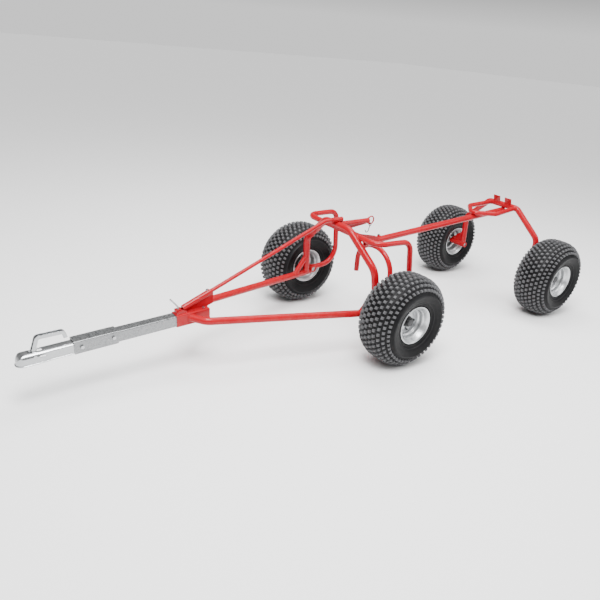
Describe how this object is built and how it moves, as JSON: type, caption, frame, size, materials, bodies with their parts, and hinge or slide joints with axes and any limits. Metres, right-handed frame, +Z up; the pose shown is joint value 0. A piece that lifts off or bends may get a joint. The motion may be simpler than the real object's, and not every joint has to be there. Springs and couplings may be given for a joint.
{
  "type": "game cart",
  "caption": "Four-wheeled tubular cart with arched axles, a swivelling rear frame, a sliding square drawbar and a ball coupler.",
  "frame": {"origin": "on the ground, under the middle of the whole length and the centre plane", "axes": "+X forward to the ball coupler, +Y to the left, +Z up"},
  "size_m": [3.8342, 1.3218, 0.7633],
  "materials": {
    "frame_red": "gloss",
    "galvanised_steel": "satin",
    "zinc_plate": "gloss",
    "wheel_silver": "satin",
    "tyre_rubber": "matte",
    "hub_black": "satin",
    "axle_steel": "satin",
    "hook_wire": "satin"
  },
  "bodies": {
    "front_frame": {"receiver": "frame_red", "lower_tube_left": "frame_red", "lower_tube_right": "frame_red", "front_arch": "frame_red", "upper_hoop": "frame_red", "braces": "frame_red", "strut_socket": "frame_red", "strut_tube": "frame_red", "frame_bolts": "zinc_plate", "clamp_boss": "frame_red", "swivel_sleeve": "frame_red", "swivel_hangers": "frame_red", "cradle": "frame_red", "lift_arm": "frame_red", "lift_eye": "frame_red", "spindle_tubes_front": "frame_red", "stub_axles_front": "axle_steel", "axle_nuts_front": "zinc_plate"},
    "drawbar": {"drawbar_tube": "galvanised_steel", "coupler_sleeve": "galvanised_steel", "sleeve_bolts": "zinc_plate", "coupler_body": "zinc_plate", "coupler_pivot_pin": "zinc_plate"},
    "coupler_handle": {"coupler_handle": "zinc_plate"},
    "coupler_jaw": {"coupler_jaw": "zinc_plate"},
    "clamp_screw": {"clamp_screw": "zinc_plate"},
    "swivel_pin": {"swivel_pin": "zinc_plate"},
    "rear_frame": {"backbone": "frame_red", "rear_arch": "frame_red", "rear_loop": "frame_red", "load_lugs": "frame_red", "rear_webs": "frame_red", "spindle_tubes_rear": "frame_red", "stub_axles_rear": "axle_steel", "axle_nuts_rear": "zinc_plate"},
    "tie_hook": {"tie_hook": "hook_wire"},
    "front_left_wheel": {"tyre_front_left": "tyre_rubber", "rim_front_left": "wheel_silver", "hub_front_left": "hub_black", "bearings_front_left": "axle_steel", "dust_cap_front_left": "hub_black", "lug_nuts_front_left": "zinc_plate"},
    "front_right_wheel": {"tyre_front_right": "tyre_rubber", "rim_front_right": "wheel_silver", "hub_front_right": "hub_black", "bearings_front_right": "axle_steel", "dust_cap_front_right": "hub_black", "lug_nuts_front_right": "zinc_plate"},
    "rear_left_wheel": {"tyre_rear_left": "tyre_rubber", "rim_rear_left": "wheel_silver", "hub_rear_left": "hub_black", "bearings_rear_left": "axle_steel", "dust_cap_rear_left": "hub_black", "lug_nuts_rear_left": "zinc_plate"},
    "rear_right_wheel": {"tyre_rear_right": "tyre_rubber", "rim_rear_right": "wheel_silver", "hub_rear_right": "hub_black", "bearings_rear_right": "axle_steel", "dust_cap_rear_right": "hub_black", "lug_nuts_rear_right": "zinc_plate"}
  },
  "joints": [
    {"name": "drawbar_slide", "type": "slide", "parent": "front_frame", "child": "drawbar", "axis": [0.9988, 0, -0.0489], "range_m": [-0.24, 0]},
    {"name": "coupler_handle_lift", "type": "hinge", "parent": "drawbar", "child": "coupler_handle", "pos_m": [1.83029, 0, 0.26811], "axis": [0, 1, 0], "range_deg": [0, 35], "stiffness_Nm_per_rad": 3, "springref_deg": -17.19},
    {"name": "coupler_jaw_slide", "type": "slide", "parent": "drawbar", "child": "coupler_jaw", "axis": [-0.9988, 0, 0.0489], "range_m": [0, 0.012]},
    {"name": "clamp_screw_turn", "type": "hinge", "parent": "front_frame", "child": "clamp_screw", "pos_m": [1.09771, 0, 0.356], "axis": [0.0489, 0, 0.9988], "range_deg": [-75, 75]},
    {"name": "swivel_pin_pull", "type": "slide", "parent": "front_frame", "child": "swivel_pin", "axis": [0.0669, 0, 0.9978], "range_m": [0, 0.012], "stiffness_N_per_m": 400, "springref_m": -0.01},
    {"name": "backbone_swivel", "type": "hinge", "parent": "front_frame", "child": "rear_frame", "pos_m": [-0.28009, 0, 0.56881], "axis": [0.9978, 0, -0.0669], "range_deg": [-20, 20]},
    {"name": "tie_hook_swing", "type": "hinge", "parent": "front_frame", "child": "tie_hook", "pos_m": [-0.23025, 0, 0.6895], "axis": [0, 1, 0], "range_deg": [-22, 15]},
    {"name": "front_left_wheel_spin", "type": "hinge", "parent": "front_frame", "child": "front_left_wheel", "pos_m": [-0.08325, 0.5235, 0.2795], "axis": [0, 1, 0], "continuous": true},
    {"name": "front_right_wheel_spin", "type": "hinge", "parent": "front_frame", "child": "front_right_wheel", "pos_m": [-0.08325, -0.5235, 0.2795], "axis": [0, 1, 0], "continuous": true},
    {"name": "rear_left_wheel_spin", "type": "hinge", "parent": "rear_frame", "child": "rear_left_wheel", "pos_m": [-1.63725, 0.4905, 0.2795], "axis": [0, 1, 0], "continuous": true},
    {"name": "rear_right_wheel_spin", "type": "hinge", "parent": "rear_frame", "child": "rear_right_wheel", "pos_m": [-1.63725, -0.4905, 0.2795], "axis": [0, 1, 0], "continuous": true}
  ],
  "couplings": [
    {"joint": "coupler_jaw_slide", "follows": "coupler_handle_lift", "m_per_rad": 0.01964}
  ]
}
